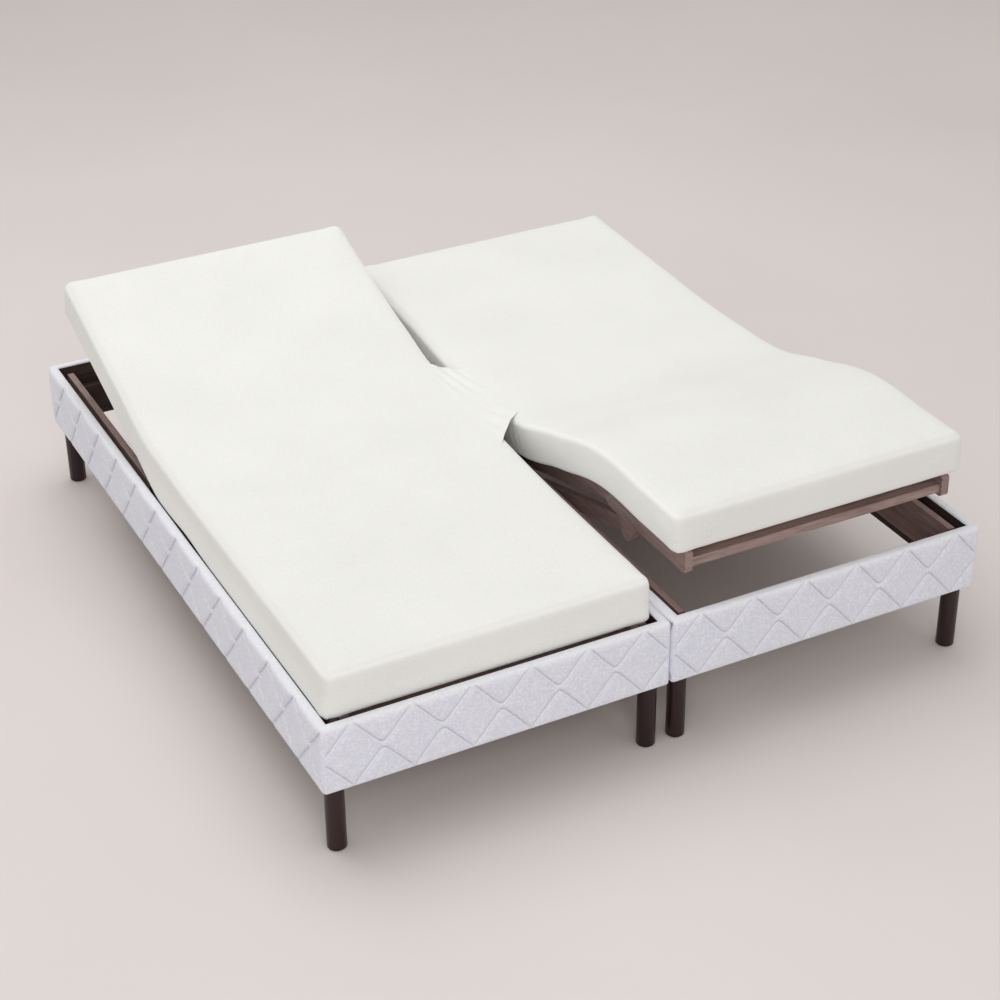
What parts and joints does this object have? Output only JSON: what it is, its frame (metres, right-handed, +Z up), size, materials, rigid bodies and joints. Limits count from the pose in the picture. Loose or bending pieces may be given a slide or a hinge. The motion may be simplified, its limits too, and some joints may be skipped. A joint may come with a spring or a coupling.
{
  "type": "twin adjustable bed",
  "caption": "Twin adjustable bed: quilted box bases on round legs, slat frames whose back and leg sections are lifted by push drives, and mattresses joined by one sheet.",
  "frame": {"origin": "on the floor, under the middle of the pair of bases", "axes": "+X to the right seen from the foot end, +Y towards the head end, +Z up"},
  "size_m": [1.835, 2, 0.7019],
  "materials": {
    "quilted_cover": "matte",
    "bed_jersey": "matte",
    "box_wood": "satin",
    "frame_wood": "satin",
    "slat_wood": "satin",
    "leg_lacquer": "gloss",
    "glide_plastic": "matte",
    "bush_plastic": "matte",
    "drive_plastic": "matte",
    "tube_steel": "satin",
    "push_steel": "satin"
  },
  "bodies": {
    "bases": {"corner_blocks": "frame_wood", "cross_boards": "frame_wood", "drive_motors": "drive_plastic", "drive_trays": "drive_plastic", "left_box_cover": "quilted_cover", "left_end_boards": "box_wood", "left_fixed_rails": "frame_wood", "left_legs": "leg_lacquer", "left_mattress_bends": "bed_jersey", "left_mattress_seat": "bed_jersey", "left_side_boards": "box_wood", "leg_glides": "glide_plastic", "leg_studs": "push_steel", "link_straps": "push_steel", "pivot_bushes": "bush_plastic", "right_box_cover": "quilted_cover", "right_end_boards": "box_wood", "right_fixed_rails": "frame_wood", "right_legs": "leg_lacquer", "right_mattress_bends": "bed_jersey", "right_mattress_seat": "bed_jersey", "right_side_boards": "box_wood", "seat_slats": "slat_wood", "sheet_bridge": "bed_jersey", "strut_pins": "push_steel"},
    "left_back": {"left_back_rails": "frame_wood", "left_back_slats": "slat_wood", "left_back_head_bar": "frame_wood", "left_back_tube": "tube_steel", "left_mattress_back": "bed_jersey"},
    "left_thigh": {"left_thigh_rails": "frame_wood", "left_thigh_slats": "slat_wood", "left_thigh_tube": "tube_steel", "left_knee_pins": "push_steel", "left_mattress_thigh": "bed_jersey"},
    "left_leg": {"left_leg_rails": "frame_wood", "left_leg_slats": "slat_wood", "left_leg_end_bar": "frame_wood", "left_mattress_leg": "bed_jersey"},
    "left_strut": {"left_struts": "frame_wood"},
    "left_back_drive": {"left_back_push_tube": "push_steel"},
    "left_leg_drive": {"left_leg_push_tube": "push_steel"},
    "right_back": {"right_back_rails": "frame_wood", "right_back_slats": "slat_wood", "right_back_head_bar": "frame_wood", "right_back_tube": "tube_steel", "right_mattress_back": "bed_jersey"},
    "right_thigh": {"right_thigh_rails": "frame_wood", "right_thigh_slats": "slat_wood", "right_thigh_tube": "tube_steel", "right_knee_pins": "push_steel", "right_mattress_thigh": "bed_jersey"},
    "right_leg": {"right_leg_rails": "frame_wood", "right_leg_slats": "slat_wood", "right_leg_end_bar": "frame_wood", "right_mattress_leg": "bed_jersey"},
    "right_strut": {"right_struts": "frame_wood"},
    "right_back_drive": {"right_back_push_tube": "push_steel"},
    "right_leg_drive": {"right_leg_push_tube": "push_steel"}
  },
  "joints": [
    {"name": "left_back_lift", "type": "hinge", "parent": "bases", "child": "left_back", "pos_m": [-0.46, 0.22, 0.3397], "axis": [1, 0, 0], "range_deg": [-18.5, 46.5], "deforming": ["left_mattress_bends"]},
    {"name": "left_thigh_lift", "type": "hinge", "parent": "bases", "child": "left_thigh", "pos_m": [-0.46, -0.08, 0.3397], "axis": [-1, 0, 0], "range_deg": [0, 30], "deforming": ["left_mattress_bends"]},
    {"name": "left_leg_fold", "type": "hinge", "parent": "left_thigh", "child": "left_leg", "pos_m": [-0.46, -0.6, 0.3397], "axis": [1, 0, 0], "range_deg": [0, 30], "deforming": ["left_mattress_bends"]},
    {"name": "left_strut_swing", "type": "hinge", "parent": "bases", "child": "left_strut", "pos_m": [-0.46, -0.16, 0.2797], "axis": [-1, 0, 0], "range_deg": [0, 30]},
    {"name": "left_back_push", "type": "slide", "parent": "bases", "child": "left_back_drive", "axis": [0, 1, 0], "range_m": [-0.02753, 0.06919]},
    {"name": "left_leg_push", "type": "slide", "parent": "bases", "child": "left_leg_drive", "axis": [0, -1, 0], "range_m": [0, 0.04659]},
    {"name": "right_back_lift", "type": "hinge", "parent": "bases", "child": "right_back", "pos_m": [0.46, 0.22, 0.3397], "axis": [1, 0, 0], "range_deg": [-2, 63], "deforming": ["right_mattress_bends"]},
    {"name": "right_thigh_lift", "type": "hinge", "parent": "bases", "child": "right_thigh", "pos_m": [0.46, -0.08, 0.3397], "axis": [-1, 0, 0], "range_deg": [-15.5, 14.5], "deforming": ["right_mattress_bends"]},
    {"name": "right_leg_fold", "type": "hinge", "parent": "right_thigh", "child": "right_leg", "pos_m": [0.46, -0.58109, 0.47866], "axis": [1, 0, 0], "range_deg": [-15.5, 14.5], "deforming": ["right_mattress_bends"]},
    {"name": "right_strut_swing", "type": "hinge", "parent": "bases", "child": "right_strut", "pos_m": [0.46, -0.16, 0.2797], "axis": [-1, 0, 0], "range_deg": [-15.5, 14.5]},
    {"name": "right_back_push", "type": "slide", "parent": "bases", "child": "right_back_drive", "axis": [0, 1, 0], "range_m": [-0.00298, 0.09374]},
    {"name": "right_leg_push", "type": "slide", "parent": "bases", "child": "right_leg_drive", "axis": [0, -1, 0], "range_m": [-0.02407, 0.02252]}
  ],
  "couplings": [
    {"joint": "left_leg_fold", "follows": "left_thigh_lift", "ratio": 1},
    {"joint": "left_strut_swing", "follows": "left_thigh_lift", "ratio": 1},
    {"joint": "left_back_push", "follows": "left_back_lift", "m_per_rad": 0.085251},
    {"joint": "left_leg_push", "follows": "left_thigh_lift", "m_per_rad": 0.088975},
    {"joint": "right_leg_fold", "follows": "right_thigh_lift", "ratio": 1},
    {"joint": "right_strut_swing", "follows": "right_thigh_lift", "ratio": 1},
    {"joint": "right_back_push", "follows": "right_back_lift", "m_per_rad": 0.085251},
    {"joint": "right_leg_push", "follows": "right_thigh_lift", "m_per_rad": 0.088975}
  ]
}
